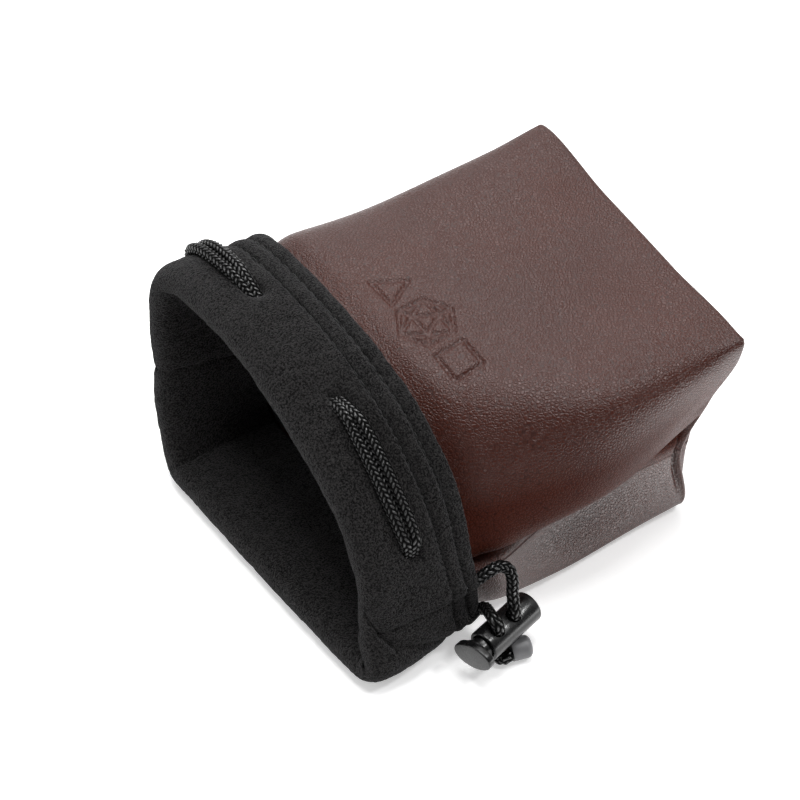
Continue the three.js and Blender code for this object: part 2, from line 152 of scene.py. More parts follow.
def ring(y, s, out=0.0):
    """Points at section y and ring share s, moved off the leatherette by out."""
    y, s, out = np.broadcast_arrays(np.asarray(y, float), np.asarray(s, float), np.asarray(out, float))
    step = 0.004
    p = outline(y, s)
    tangent = outline(y, s + step) - outline(y, s - step)
    tangent /= np.linalg.norm(tangent, axis=-1, keepdims=True)
    ear = sum(far * np.exp(-np.abs(s - corner) / 0.009) for corner, far in CORNERS)
    out = out + ear * smooth(BASE_Y - 14, BASE_Y, y)
    x = p[..., 0] + tangent[..., 1] * out
    z = p[..., 1] - tangent[..., 0] * out
    mouth = 1 - smooth(MOUTH_Y, SEAM_Y, y)
    base = smooth(MIDDLE_Y, BASE_Y, y)
    lean = (MOUTH_LEAN * p[..., 1] + MOUTH_SKEW * p[..., 0]) * mouth
    lean = lean + (base_plane(p[..., 0], p[..., 1]) - BASE_Y) * base
    return np.stack([x, y + lean, z], -1)


# ---- mesh helpers ---------------------------------------------------------------------------------

def mesh(name, points, faces, uv=None):
    data = bpy.data.meshes.new(name)
    data.from_pydata((np.asarray(points).reshape(-1, 3) * MM).tolist(), [], faces)
    data.validate()
    obj = bpy.data.objects.new(name, data)
    bpy.context.scene.collection.objects.link(obj)
    work = bmesh.new()
    work.from_mesh(data)
    bmesh.ops.recalc_face_normals(work, faces=work.faces)
    work.to_mesh(data)
    work.free()
    data.polygons.foreach_set("use_smooth", [True] * len(data.polygons))
    if uv is not None:
        layer = data.uv_layers.new(name="UVMap")
        corner = np.zeros(len(data.loops), int)
        data.loops.foreach_get("vertex_index", corner)
        layer.data.foreach_set("uv", np.asarray(uv).reshape(-1, 2)[corner].ravel())
    return obj


def loop_faces(height, width, cap):
    """Quads of a skin made of rows that are closed loops, with a cap at both ends."""
    index = np.arange(height * width).reshape(height, width)
    near, far = index[:-1], index[1:]
    quads = np.stack([near, np.roll(near, -1, 1), np.roll(far, -1, 1), far], -1).reshape(-1, 4).tolist()
    for row in (index[0], index[-1]):
        if cap == "ladder":
            half = width // 2
            for j in range(half - 1):
                quads.append([int(row[k]) for k in (j, j + 1, -j - 2, -j - 1)])
        elif cap == "polygon":
            quads.append([int(v) for v in row])
    return quads


def displace(obj, offset):
    """Moves each vertex along its normal by offset(point), in mm."""
    data = obj.data
    co = np.zeros(len(data.vertices) * 3)
    normal = np.zeros(len(data.vertices) * 3)
    data.vertices.foreach_get("co", co)
    data.vertex_normals.foreach_get("vector", normal)
    co, normal = co.reshape(-1, 3), normal.reshape(-1, 3)
    amount = np.array([offset(Vector(p)) for p in co / MM])
    data.vertices.foreach_set("co", (co + normal * amount[:, None] * MM).ravel())
    data.update()


def resample(points, count):
    """count points along a smooth curve through points, evenly by length."""
    points = np.asarray(points, float)
    padded = np.vstack([2 * points[0] - points[1], points, 2 * points[-1] - points[-2]])
    fine = []
    for k in range(len(points) - 1):
        t = np.linspace(0, 1, 24, endpoint=False)
        fine.append(np.einsum("an,ad->nd", catmull_weights(t), padded[k:k + 4]))
    fine = np.vstack(fine + [points[-1:]])
    length = np.concatenate([[0], np.cumsum(np.linalg.norm(np.diff(fine, axis=0), axis=1))])
    at = np.linspace(0, length[-1], count)
    return np.stack([np.interp(at, length, fine[:, d]) for d in range(points.shape[1])], -1)


# ---- the soft pieces' placement, and the two halves of the ring -------------------------------------


def close_with(obj):
    """Bakes the piece's placement into its mesh."""
    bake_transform(obj)


HALVES = {"front": (0.0, LEFT_SEAM), "back": (LEFT_SEAM, 1.0)}  # shares of the ring


# ---- leatherette ------------------------------------------------------------------------------------

EMBLEM = np.array([-4.0, -7.5])  # middle of the debossed dice on the front panel
EMBLEM_R = 8.5
EMBLEM_DEPTH = 0.55
RIGHT_FOLD, LEFT_FOLD = 7.4, 3.6  # depths of the folds under the swell
EDGE_FOLD = 2.0
HEM_PULL = 2.3


def segment_distance(x, y, a, b):
    a, b = np.asarray(a, float), np.asarray(b, float)
    d = b - a
    t = np.clip(((x - a[0]) * d[0] + (y - a[1]) * d[1]) / (d @ d), 0, 1)
    return np.hypot(x - a[0] - t * d[0], y - a[1] - t * d[1])


def polygon(centre, radius, sides, turn):
    angles = turn + 2 * math.pi * np.arange(sides) / sides
    return [centre + radius * np.array([math.cos(a), math.sin(a)]) for a in angles]


def emblem_lines():
    """Outlines of three dice: twenty-sided in the middle, four-sided and six-sided beside it."""
    up = math.pi / 2
    hexagon = polygon(EMBLEM, EMBLEM_R, 6, up)
    face = polygon(EMBLEM, 0.52 * EMBLEM_R, 3, up)
    lines = [(hexagon[k], hexagon[(k + 1) % 6]) for k in range(6)]
    lines += [(face[k], face[(k + 1) % 3]) for k in range(3)]
    lines += [(face[k], hexagon[2 * k]) for k in range(3)]
    for k in range(3):
        lines += [(face[k], hexagon[(2 * k + 1) % 6]), (face[(k + 1) % 3], hexagon[(2 * k + 1) % 6])]
    pyramid = polygon(EMBLEM + [-15.5, -1.2], 6.2, 3, up)
    lines += [(pyramid[k], pyramid[(k + 1) % 3]) for k in range(3)]
    cube = polygon(EMBLEM + [15.5, 0], 6.4, 4, up / 2)
    lines += [(cube[k], cube[(k + 1) % 4]) for k in range(4)]
    return lines


def emblem_depth(x, y):
    distance = np.min([segment_distance(x, y, a, b) for a, b in emblem_lines()], axis=0)
    return -EMBLEM_DEPTH * (1 - smooth(0.45, 0.8, distance))


def side_folds(y, s):
    """How far the sides fold in under the swell of the front panel, in mm."""
    right_at = np.interp(y, (SEAM_Y, MIDDLE_Y, BASE_Y), (0.022, 0.02, 0.04))
    right = np.exp(-np.abs((s - right_at) / 0.0085) ** 1.5) * smooth(SEAM_Y - 6, SEAM_Y + 4, y)
    left = np.exp(-((LEFT_SEAM - s - 0.034) / 0.014) ** 2) * smooth(MIDDLE_Y, BASE_Y - 10, y)
    return RIGHT_FOLD * right + LEFT_FOLD * left


def edge_fold(p, s):
    """The leaf-shaped fold beside the right end of the base, where the boxed corner is pinched, in mm."""
    to_base = base_plane(p[..., 0], p[..., 2]) - p[..., 1]
    from_seam = (s + 0.5) % 1 - 0.5
    return EDGE_FOLD * np.exp(-((to_base - 2.6) / 1.0) ** 2 - (from_seam / 0.05) ** 4)


def hem_pull(y):
    """How far the seam under the collar pulls the sheets in, in mm."""
    return HEM_PULL * np.exp(-((y - SEAM_Y - 2.0) / 5.5) ** 2)


def leather_relief(p, s):
    """Slow unevenness of the stuffed leatherette, its pull at the seam and its folded sides, in mm."""
    x, y, z = p[..., 0], p[..., 1], p[..., 2]
    soft = 0.45 * np.sin(x / 15.0 + 0.7) * np.sin(y / 19.0 + z / 31.0)
    soft += 0.3 * np.sin(x / 9.0 - y / 12.0 + 1.9) * np.sin(z / 13.0 + y / 23.0)
    fade = smooth(SEAM_Y - 2, SEAM_Y + 10, y) * (1 - smooth(BASE_Y - 6, BASE_Y + 8, y))
    return soft * fade - hem_pull(y) - side_folds(y, s) - edge_fold(p, s)


def dense(lo, hi, ranges, coarse, fine):
    """Sample places from lo to hi, coarse apart, and fine apart inside ranges."""
    places = [lo]
    while places[-1] < hi:
        inside = any(a - 0.5 * coarse <= places[-1] <= b for a, b in ranges)
        places.append(places[-1] + (fine if inside else coarse))
    places[-1] = hi
    return np.array(places)


def boxed_half(name, out, thickness, rows_at, columns_at, relief):
    """Half of the boxed bag as a thick skin: wall rows, a rounded edge, then half of the base."""
    s = columns_at
    across = (s - s[0]) / (s[-1] - s[0])

    def face(level):
        rows = []
        for y in rows_at:
            rows.append(ring(y, s, level + relief(ring(y, s, level), s)))
        radius = BASE_ROUND + level - out
        for angle in np.linspace(0, math.pi / 2, 7):
            inward = radius * (1 - math.cos(angle))
            back = radius * (1 - math.sin(angle))
            rows.append(ring(BASE_Y, s, level - inward) - [0, back - level, 0])
        rim = rows[-1]
        target_x = rim[0, 0] + (rim[-1, 0] - rim[0, 0]) * across
        for share in np.linspace(0, 1, 22)[1:]:
            x = rim[:, 0] + (target_x - rim[:, 0]) * share
            z = rim[:, 2] + (PINCH_Z - rim[:, 2]) * share
            swell = base_bulge(x, z) * smooth(0, 0.3, share)
            rows.append(np.stack([x, base_plane(x, z) + level + swell, z], -1))
        return np.array(rows)

    outer = face(out)
    inner = face(out - thickness)
    loops = np.concatenate([outer, inner[:, ::-1]], 1)
    return mesh(name, loops, loop_faces(len(loops), loops.shape[1], "ladder"))


GLOSS = 0.36  # specular level of the leatherette
GUSSET_SHINES, SWELL_DULLS = 0.55, 0.31  # how much the gusset adds to it and the swell takes off


def paint_gloss(piece, s, walls):
    """Specular level: higher on the near gusset, lower on the swell above it; walls counts the wall rows."""
    from_seam = (s + 0.5) % 1 - 0.5
    gusset = smooth(-0.085, -0.06, from_seam) * (1 - smooth(-0.008, 0.01, from_seam))
    swell = smooth(0.004, 0.018, from_seam) * (1 - smooth(0.11, 0.16, from_seam))
    row = GLOSS + GUSSET_SHINES * gusset - SWELL_DULLS * swell
    level = np.full((len(piece.data.vertices) // (2 * len(s)), 2 * len(s)), GLOSS)
    level[:walls] = np.concatenate([row, row[::-1]])
    gloss = piece.data.attributes.new("gloss", "FLOAT", "POINT")
    gloss.data.foreach_set("value", level.ravel())


def panel_relief(p, s):
    """Relief of the leatherette with its emblem, but none where it rests on the table."""
    on_top = smooth(55, 62, p[..., 2])
    depth = leather_relief(p, s) + on_top * emblem_depth(p[..., 0], p[..., 1])
    return np.where(p[..., 2] < 1.0, 0.0, depth)


def leather_panels():
    for half in ("front", "back"):
        a, b = HALVES[half]
        emblem_s = [(0.235, 0.365)] if half == "front" else []
        emblem_y = [(EMBLEM[1] - 10, EMBLEM[1] + 10)] if half == "front" else []
        folded_y = [(BASE_Y - 8, BASE_Y)]
        rows = dense(LEATHER_TOP, WALL_END, emblem_y + folded_y, coarse=1.6, fine=0.4)
        columns = dense(a, b, emblem_s, coarse=0.0042, fine=0.00115)
        piece = boxed_half(f"leather_{half}", 0.0, LEATHER, rows, columns, panel_relief)
        paint_gloss(piece, columns, len(rows))
        piece.data.materials.append(leather_material())
        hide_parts(f"leather_{half}_panel")
        close_with(piece)


# ---- fleece -----------------------------------------------------------------------------------------

def pile(point):
    """Soft lumps and short pile of the fleece, in mm."""
    lumps = 0.34 * noise.noise(point / 9.0) + 0.18 * noise.noise(point / 3.2 + Vector((5, 0, 0)))
    return lumps + 0.13 * noise.noise(point / 1.0 + Vector((0, 7, 0)))


def lining_relief(p, s):
    """The loose lining hangs in soft folds that run from the mouth to the base, in mm."""
    x, y, z = p[..., 0], p[..., 1], p[..., 2]
    folds = np.sin(9 * math.pi * s + y / 16 + 1.2 * np.sin(y / 21)) * np.sin(23 * s + 1.3)
    creases = 0.35 * np.sin(z / 5 + y / 11) * np.sin(x / 8)
    return -0.9 - 0.9 * folds - creases - hem_pull(y) - side_folds(y, s) - edge_fold(p, s)


def lining_panels():
    for half in ("front", "back"):
        a, b = HALVES[half]
        rows = np.linspace(LEATHER_TOP, WALL_END, 46)
        columns = np.linspace(a, b, 120)
        piece = boxed_half(f"lining_{half}", LINING_OUT, LINING, rows, columns, lining_relief)
        displace(piece, lambda p: 0.5 * pile(p))
        piece.data.materials.append(fleece_material())
        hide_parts(f"lining_{half}_panel")
        close_with(piece)


# [y, distance off the leatherette] of the collar's folded sheet: its seen face, from the lower outer
# edge over the mouth to the inner end, and its hidden face, which leaves the cord's casing open.
COLLAR_SEEN = [(-27.2, 0.55), (-26.8, 1.3), (-27.3, 2.2), (-29, 2.5), (-30.3, 2.2), (-31, 1.3), (-31.7, 2.2),
               (-33.5, 2.65), (-35.3, 2.25), (-36, 1.25), (-36.8, 2.3), (-40, 2.9), (-45, 3.1), (-52, 3.1),
               (-58, 2.9), (-61.8, 2.0), (-63.8, 0.4), (-64.3, -1.8), (-63.6, -4.2), (-61, -5.9),
               (-56, -6.2), (-48, -6.0), (-41, -5.3), (-36, -4.7), (-33, -4.5)]
COLLAR_HIDDEN = [(-28, 0.5), (-34, 0.45), (-38, 0.4), (-41, 0.8), (-45, 1.2), (-55, 1.1), (-60, 0.2),
                 (-62, -1.8), (-60, -3.6), (-55, -4.3), (-42, -4.1), (-39, -3.4), (-33, -3.0)]

SLOT_PIT = 2.6  # depth of the pits where the cord goes through the collar
TAIL_BULGE = 1.4  # height of the bulges over the loose cord
DROOP = 1.3  # depth of the crease where the collar droops
LIP = 2.6  # how far the lower lip hangs forward
TAIL_EXITS = (0.956, 1.014)  # shares of the ring where the loose cord comes out under the hem
# The crease where the collar droops round onto the table: [y, share of the ring].
DROOP_Y = (-64.5, -61, -57, -45, -32, -27)
DROOP_S = (1.045, 1.0, 0.965, 0.945, 0.922, 0.915)


def hem(y, s):
    """How far the hem, which is thick where it is gathered over the top, rides back and stands up, in mm."""
    gathered = smooth(0.05, 0.18, s) * (1 - smooth(0.44, 0.54, s))
    share = smooth(-46, -28, y) * gathered
    return 2.3 * share, 0.7 * share


def slot_places():
    """Shares of the ring where the cord goes through the collar."""
    return [edge for shown in SHOWS for edge in shown]


def outer_face(y, s):
    """How far the collar's outer face moves off the leatherette: slot pits, cord bulges and the droop."""
    moved = np.zeros(len(y))
    for place in slot_places():
        moved -= SLOT_PIT * np.exp(-((s - place) / 0.0065) ** 2 - ((y - CORD_Y + 1.8) / 3.6) ** 4)
    back, up = hem(y, s)
    moved += up
    for place in TAIL_EXITS:
        near = ((s + 0.5) % 1 - (place + 0.5) % 1) / 0.012
        moved += TAIL_BULGE * math.exp(-near**2) * smooth(-43, -36, y + back)
    past_zero = s + (s < 0.5)
    moved -= DROOP * np.exp(-((past_zero - np.interp(y + back, DROOP_Y, DROOP_S)) / 0.0075) ** 2)
    return moved


def collar_row(half, s, sheet, is_seen):
    """One cross-section of the folded sheet: its ends are rounded and its lower lip hangs forward."""
    a, b = HALVES[half]
    y, out = sheet[:, 0].copy(), sheet[:, 1].copy()
    outside = is_seen & (out > 0)
    end = min(s - a, b - s)
    out -= is_seen * np.sign(out + 1.8) * 0.45 * math.exp(-(end / 0.004) ** 2)
    out += outside * outer_face(y, s)
    y += hem(y, s)[0]
    if half == "back":
        y -= LIP * smooth(-50, MOUTH_Y, y) * math.sin(math.pi * (s - a) / (b - a)) ** 0.5
    return ring(y, s, out)


def collar():
    seen = resample(COLLAR_SEEN, 180)
    hidden = resample(COLLAR_HIDDEN, 40)[::-1]
    sheet = np.vstack([seen, hidden])
    is_seen = np.arange(len(sheet)) < len(seen)
    for half, count in (("front", 400), ("back", 290)):
        rows = [collar_row(half, s, sheet, is_seen) for s in np.linspace(*HALVES[half], count)]
        piece = mesh(f"collar_{half}_fleece", np.array(rows), loop_faces(len(rows), len(sheet), "polygon"))
        displace(piece, pile)
        piece.data.materials.append(fleece_material())
        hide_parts(f"collar_{half}")
        close_with(piece)


STITCH_STEP, STITCH_LENGTH = 0.0088, 0.0066  # shares of the ring
STITCH_ROWS = (-36.0, -31.0)  # y of the two rows
THREAD_R = 0.24
STITCH_POINTS, STITCH_SIDES = 7, 6


def stitching():
    """Lockstitch threads: short bars that dip into the fleece at both ends."""
    for half in ("front", "back"):
        a, b = HALVES[half]
        for row, y in enumerate(STITCH_ROWS):
            points, faces = [], []
            for s in np.arange(a + 0.004, b - 0.004, STITCH_STEP):
                t = np.linspace(0, 1, STITCH_POINTS)
                out = 0.75 + 0.8 * np.sin(math.pi * t) ** 0.5
                back, up = hem(y, s)
                path = ring(np.full(STITCH_POINTS, y + back), s + STITCH_LENGTH * t, out + up)
                tube, quads = tube_mesh(path, THREAD_R, STITCH_SIDES)
                first = len(points) * STITCH_POINTS * STITCH_SIDES
                faces += [[v + first for v in quad] for quad in quads]
                points.append(tube)
            piece = mesh(f"stitching_{half}_{row + 1}", np.array(points), faces)
            piece.data.materials.append(thread_material())
            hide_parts(f"collar_{half}_stitching_{row + 1}")
            close_with(piece)


# ---- cord -------------------------------------------------------------------------------------------

def frames_along(path):
    """Two unit vectors across a path at each point, turning as little as possible."""
    tangent = np.gradient(path, axis=0)
    tangent /= np.linalg.norm(tangent, axis=1, keepdims=True)
    across = np.cross(tangent[0], [0.3, 0.2, 0.9])
    first = []
    for t in tangent:
        across = across - t * (across @ t)
        across /= np.linalg.norm(across)
        first.append(across)
    first = np.array(first)
    return first, np.cross(tangent, first)


def tube_mesh(path, radius, sides):
    """Points and faces of a tube; radius is a number or one row of numbers for each point."""
    first, second = frames_along(path)
    angle = 2 * math.pi * np.arange(sides) / sides
    radius = np.broadcast_to(radius, (len(path), sides))[..., None]
    cos, sin = np.cos(angle)[:, None], np.sin(angle)[:, None]
    rows = path[:, None] + radius * (first[:, None] * cos + second[:, None] * sin)
    return rows, loop_faces(len(path), sides, "polygon")


YARNS = 8  # yarns of the braid in each direction
YARN_STEP = 1.6  # length of cord between crossings
BRAID_SIDES = 48
BRAID_DEPTH = 0.46


def braid_height(u, v):
    """Height, 0 to 1, of a two-over-two braid; u and v count the yarns that run each way."""
    fu, fv = u % 1, v % 1
    place = (np.floor(u) + np.floor(v)) % 4
    over = place < 2
    run = np.where(over, place + fu, place - 2 + fv) / 2
    cross = np.where(over, fv, fu)
    return np.sin(math.pi * cross) ** 0.8 * (0.3 + 0.7 * np.sin(math.pi * run) ** 0.8)


def braid(name, path, radius=CORD_R, spacing=0.25):
    """A round braided cord: yarns wound both ways that pass over and under one another."""
    length = np.sum(np.linalg.norm(np.diff(path, axis=0), axis=1))
    path = resample(path, int(length / spacing))
    along = np.arange(len(path))[:, None] * spacing / YARN_STEP
    around = YARNS * np.arange(BRAID_SIDES)[None] / BRAID_SIDES
    height = braid_height(around + along, around - along)
    ends = np.minimum(np.arange(len(path)), np.arange(len(path))[::-1])[:, None] * spacing
    taper = 0.82 + 0.18 * np.sqrt(np.clip(ends / 0.6, 0, 1))
    rows, faces = tube_mesh(path, (radius + BRAID_DEPTH * (height - 0.8)) * taper, BRAID_SIDES)
    uv = np.stack(np.broadcast_arrays(around / YARNS, along * YARN_STEP), -1)
    piece = mesh(name, rows, faces, uv)
    crown = piece.data.attributes.new("crown", "FLOAT", "POINT")
    crown.data.foreach_set("value", height.ravel())
    piece.data.materials.append(cord_material())
    return piece


CORD_INSIDE, CORD_OUTSIDE = -1.5, 4.5  # level of the cord's middle in the casing and on the collar


def shown(s):
    """1 where the cord shows on the collar, 0 where it runs in the casing."""
    return sum(smooth(a - DIVE, a + DIVE, s) * (1 - smooth(b - DIVE, b + DIVE, s)) for a, b in SHOWS)


def strand(turn, lo, hi, count):
    """The path of one turn of the cord from ring share lo to hi."""
    s = np.linspace(lo, hi, count)
    level = CORD_INSIDE + (CORD_OUTSIDE - CORD_INSIDE) * shown(s)
    inner = ring(CORD_Y, s, level)
    along = np.gradient(inner, axis=0)
    along /= np.linalg.norm(along, axis=1, keepdims=True)
    beside = ring(CORD_Y - 1, s, level) - inner
    beside -= along * np.sum(beside * along, 1, keepdims=True)
    beside /= np.linalg.norm(beside, axis=1, keepdims=True)
    middle = inner + beside * TURN_SPACING / 2
    # The two strands share a slot, so they close up as they go into it.
    ends = np.max([np.exp(-((s - edge) / 0.02) ** 2) for edge in slot_places()], axis=0)
    side = 1 if turn == "outer" else -1
    return middle + side * beside * (TURN_SPACING / 2 * (1 - 0.5 * ends))[:, None]


def drawstring_turns():
    for turn in ("outer", "inner"):
        path = strand(turn, 0.006, LEFT_SEAM - 0.004, 240)
        piece = braid(f"cord_front_{turn}", path)
        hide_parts(f"drawstring_front_{turn}_turn")
        close_with(piece)
        last = 0.996 if turn == "outer" else 0.924
        path = strand(turn, LEFT_SEAM + 0.004, last, 100)
        piece = braid(f"cord_back_{turn}", path, spacing=0.5)
        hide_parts(f"drawstring_back_{turn}_turn")
        close_with(piece)


# ---- the lock ---------------------------------------------------------------------------------------

LOCK_MOUTH = np.array([59.3, -32.8, 11.3])
LOCK_AXIS = np.array([-0.2205, 0.9754, 0.0])
LOCK_AXIS /= np.linalg.norm(LOCK_AXIS)
HOLE_UP = np.array([0.2366, 0.0535, 0.9702])
LOCK_SIDE = np.cross(LOCK_AXIS, HOLE_UP)
LOCK_SIDE /= np.linalg.norm(LOCK_SIDE)
LOCK_UP = np.cross(LOCK_SIDE, LOCK_AXIS)
LOCK_HOLES = (4.5, 11.3)
BARREL_R, BARREL_LENGTH, BARREL_BORE = 4.75, 19.6, 3.75
HEAD_HALF = (7.0, 4.4)
HEAD_TURN = 0.65  # from square to the cord holes to the pad's long way
HEAD_SIDES = 96


def placed(x, y, z, origin, axes):
    """Points in the part's frame from coordinates along three axes at an origin."""
    return origin + sum(np.multiply.outer(along, axis) for along, axis in zip((x, y, z), axes))


def in_lock(x, y, z):
    """Lock coordinates: x to the side, y up the cord holes, z along the barrel from its open end."""
    return placed(x, y, z, LOCK_MOUTH, (LOCK_SIDE, LOCK_UP, LOCK_AXIS))


def lathe(name, profile, sides, place):
    """A turned shape: profile is a closed or axis-to-axis list of [radius, height]."""
    angle = 2 * math.pi * np.arange(sides) / sides
    rows = [place(r * np.cos(angle), r * np.sin(angle), np.full(sides, h)) for r, h in profile]
    closed = profile[0] == profile[-1]
    faces = loop_faces(len(rows), sides, "none" if closed else "polygon")
    piece = mesh(name, np.array(rows), faces)
    work = bmesh.new()
    work.from_mesh(piece.data)
    bmesh.ops.remove_doubles(work, verts=work.verts, dist=1e-7)
    bmesh.ops.recalc_face_normals(work, faces=work.faces)
    work.to_mesh(piece.data)
    work.free()
    return piece


def arc(cx, cy, radius, start, stop, count=6):
    """Points of an arc in [radius, height], angles in degrees."""
    return [(cx + radius * math.cos(math.radians(a)), cy + radius * math.sin(math.radians(a)))
            for a in np.linspace(start, stop, count)]


def bake_modifiers(obj):
    graph = bpy.context.evaluated_depsgraph_get()
    data = bpy.data.meshes.new_from_object(obj.evaluated_get(graph))
    obj.modifiers.clear()
    obj.data = data
    data.polygons.foreach_set("use_smooth", [True] * len(data.polygons))
    data.set_sharp_from_angle(angle=math.radians(40))


def cut(obj, cutters):
    for cutter in cutters:
        modifier = obj.modifiers.new("cut", "BOOLEAN")
        modifier.object = cutter
        modifier.operation = "DIFFERENCE"
    edge = obj.modifiers.new("edge", "BEVEL")
    edge.width = 0.18 * MM
    edge.segments = 3
    edge.limit_method = "ANGLE"
    edge.angle_limit = math.radians(35)
    bake_modifiers(obj)
    for cutter in cutters:
        bpy.data.objects.remove(cutter)


def cross_hole(z, half_side, half_along, power=2.0):
    """A cutter across the lock at z: an oval for power 2, squarer for more."""
    sides = 48
    angle = 2 * math.pi * np.arange(sides) / sides
    c, s = np.cos(angle), np.sin(angle)
    x = half_side * np.sign(c) * np.abs(c) ** (2 / power)
    along = half_along * np.sign(s) * np.abs(s) ** (2 / power)
    through = 8.0
    rows = np.array([in_lock(x, np.full(sides, y), z + along) for y in (-through, through)])
    return mesh("cutter", rows, loop_faces(2, sides, "polygon"))


def press_pad():
    """The plunger's oval head: a rounded edge and a slightly domed face."""
    angle = 2 * math.pi * np.arange(HEAD_SIDES) / HEAD_SIDES

    def oval(half_length, half_width, height):
        x, y = half_length * np.cos(angle), half_width * np.sin(angle)
        cos, sin = math.cos(HEAD_TURN), math.sin(HEAD_TURN)
        return in_lock(x * cos - y * sin, x * sin + y * cos, np.full(HEAD_SIDES, height))

    edge = arc(0.5, -2.95, 0.35, 90, 180, 4) + arc(0.6, -4.35, 0.45, 180, 270, 6)
    rows = [oval(HEAD_HALF[0] - inset, HEAD_HALF[1] - inset, height) for inset, height in edge]
    for share in (0.85, 0.6, 0.35, 0.1):
        dome = 0.25 * (1 - share**2)
        rows.append(oval(6.4 * share, 3.8 * share, -4.8 - dome))
    return mesh("lock_press_pad", np.array(rows), loop_faces(len(rows), HEAD_SIDES, "polygon"))


def lock_barrel():
    r, length, bore = BARREL_R, BARREL_LENGTH, BARREL_BORE
    rim = [(bore, 0.35)] + arc(bore + 0.35, 0.35, 0.35, 180, 270, 4) + arc(r - 0.45, 0.45, 0.45, -90, 0)
    outside = [(r, 1.6), (r, length - 3)] + arc(r - 0.9, length - 0.9, 0.9, 0, 90) + [(0.001, length)]
    inside = [(0.001, length - 1.6), (bore, length - 1.6), (bore, 0.35)]
    barrel = lathe("lock_barrel_moulding", rim + outside + inside, 96, in_lock)
    cut(barrel, [cross_hole(z, 2.2, 2.2) for z in LOCK_HOLES])
    barrel.data.materials.append(lock_material())
    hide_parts("lock_barrel")
    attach(barrel, "cord_lock")


def lock_plunger():
    """The stem inside the barrel, with two holes for the cords, and the press pad on its end."""
    stem = [(0.001, -2.9), (4.0, -2.9), (4.2, -2.7), (4.2, -2.3), (4.0, -2.1), (3.0, -2.0)]
    stem += arc(3.35, -1.4, 0.3, 230, 180, 3)
    stem += [(3.35, -0.4), (3.35, 13.6)] + arc(2.95, 13.6, 0.4, 0, 90, 4) + [(0.001, 14.0)]
    plunger = lathe("lock_plunger_stem", stem, 72, in_lock)
    cut(plunger, [cross_hole(z - 0.9, 1.95, 2.8, power=4) for z in LOCK_HOLES])
    pad = press_pad()
    for piece in (plunger, pad):
        piece.data.materials.append(lock_material())
        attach(piece, "plunger")
    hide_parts("lock_plunger")
    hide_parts("lock_plunger")


# ---- loose cord and cord end -------------------------------------------------------------------------

def on_collar(y, s, out):
    return ring(y, s, out).tolist()


def hole(k, up):
    return in_lock(0.0, up, LOCK_HOLES[k]).tolist()


# From the casing, under the collar's edge, to above the lock; then down through the lock.
TAILS = [
    [on_collar(CORD_Y, 0.938, -1.5), on_collar(-42, 0.95, -1.5), on_collar(-38, 0.954, -0.6),
     on_collar(-33.5, 0.954, 0.9), on_collar(-28, 0.956, 1.9), [51.2, -26.4, 15.4], [55, -27.6, 17.9],
     [58.2, -28.4, 18.9]],
    [on_collar(CORD_Y, 0.991, -1.5), on_collar(-42, 0.991, -1.5), on_collar(-38, 0.997, -0.6),
     on_collar(-33.5, 1.008, 0.8), on_collar(-28, 1.014, 1.8), [48.9, -23.4, 27.2], [49.3, -20.2, 27.4],
     [51, -18.4, 26.2], [53, -18.6, 24], [55, -20, 21.6], [57.2, -21.1, 19.4]],
]


def tails():
    for k, path in enumerate(TAILS):
        piece = braid(f"cord_tail_{k + 1}", path + [hole(k, up) for up in (6.2, 3, 0, -5)])
        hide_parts(f"drawstring_tail_{k + 1}")
        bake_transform(piece)


BELL_MOUTH = np.array([60.0, -23.7, 3.4])
BELL_AXIS = np.array([0.3, 0.954, 0.0])
BELL_SIDE = np.array([0.954, -0.3, 0.0])
BELL_UP = np.array([0.0, 0.0, 1.0])
BELL_R, BELL_LENGTH, BELL_BORE = 3.3, 6.0, 2.65


def in_bell(x, y, z):
    """Cup coordinates: x to the side, y up, z into the cup from its open end."""
    return placed(x, y, z, BELL_MOUTH, (BELL_SIDE, BELL_UP, BELL_AXIS))


def cords_below_lock():
    ends = [
        [hole(0, -5.3), hole(0, -6), [57.3, -28.5, 3.1], [59.3, -27.4, 2.1], [60.9, -26.2, 2.6],
         in_bell(1.78, 0, -1.6).tolist(), in_bell(1.7, 0, -0.1).tolist()],
        [hole(1, -5.3), hole(1, -6), [55.1, -23.2, 3.3], [56, -24.6, 2.3], [57.3, -24.7, 2.6],
         in_bell(-1.78, 0, -1).tolist(), in_bell(-1.7, 0, -0.1).tolist()],
    ]
    for k, path in enumerate(ends):
        piece = braid(f"cord_to_end_{k + 1}", path)
        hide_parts(f"drawstring_end_{k + 1}")
        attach(piece, "cord_end")


def cord_cup():
    r, length, bore = BELL_R, BELL_LENGTH, BELL_BORE
    rim = [(bore, 0.3)] + arc(bore + 0.25, 0.25, 0.25, 180, 270, 4) + arc(r - 0.4, 0.4, 0.4, -90, 0)
    outside = [(r, 1.4), (r, length - 1.8)] + arc(r - 1.6, length - 1.6, 1.6, 0, 90, 10) + [(0.001, length)]
    inside = [(0.001, length - 1.1)] + arc(bore - 1.2, length - 2.3, 1.2, 90, 0, 8) + [(bore, 0.3)]
    bell = lathe("cord_end_cup", rim + outside + inside, 72, in_bell)
    bell.data.materials.append(end_material())
    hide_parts("cord_end_bell")
    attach(bell, "cord_end")


def cord_knot():
    """A trefoil knot inside the cup."""
    t = np.linspace(0, 2 * math.pi, 90)
    knot_path = in_bell(0.5 * (np.sin(t) + 2 * np.sin(2 * t)), 0.5 * (np.cos(t) - 2 * np.cos(2 * t)),
                        2.6 - 0.95 * np.sin(3 * t))
    knot = braid("cord_knot", knot_path, radius=0.85)
    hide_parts("cord_end_knot")
    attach(knot, "cord_end")


# ---- materials ----------------------------------------------------------------------------------------

_made = {}


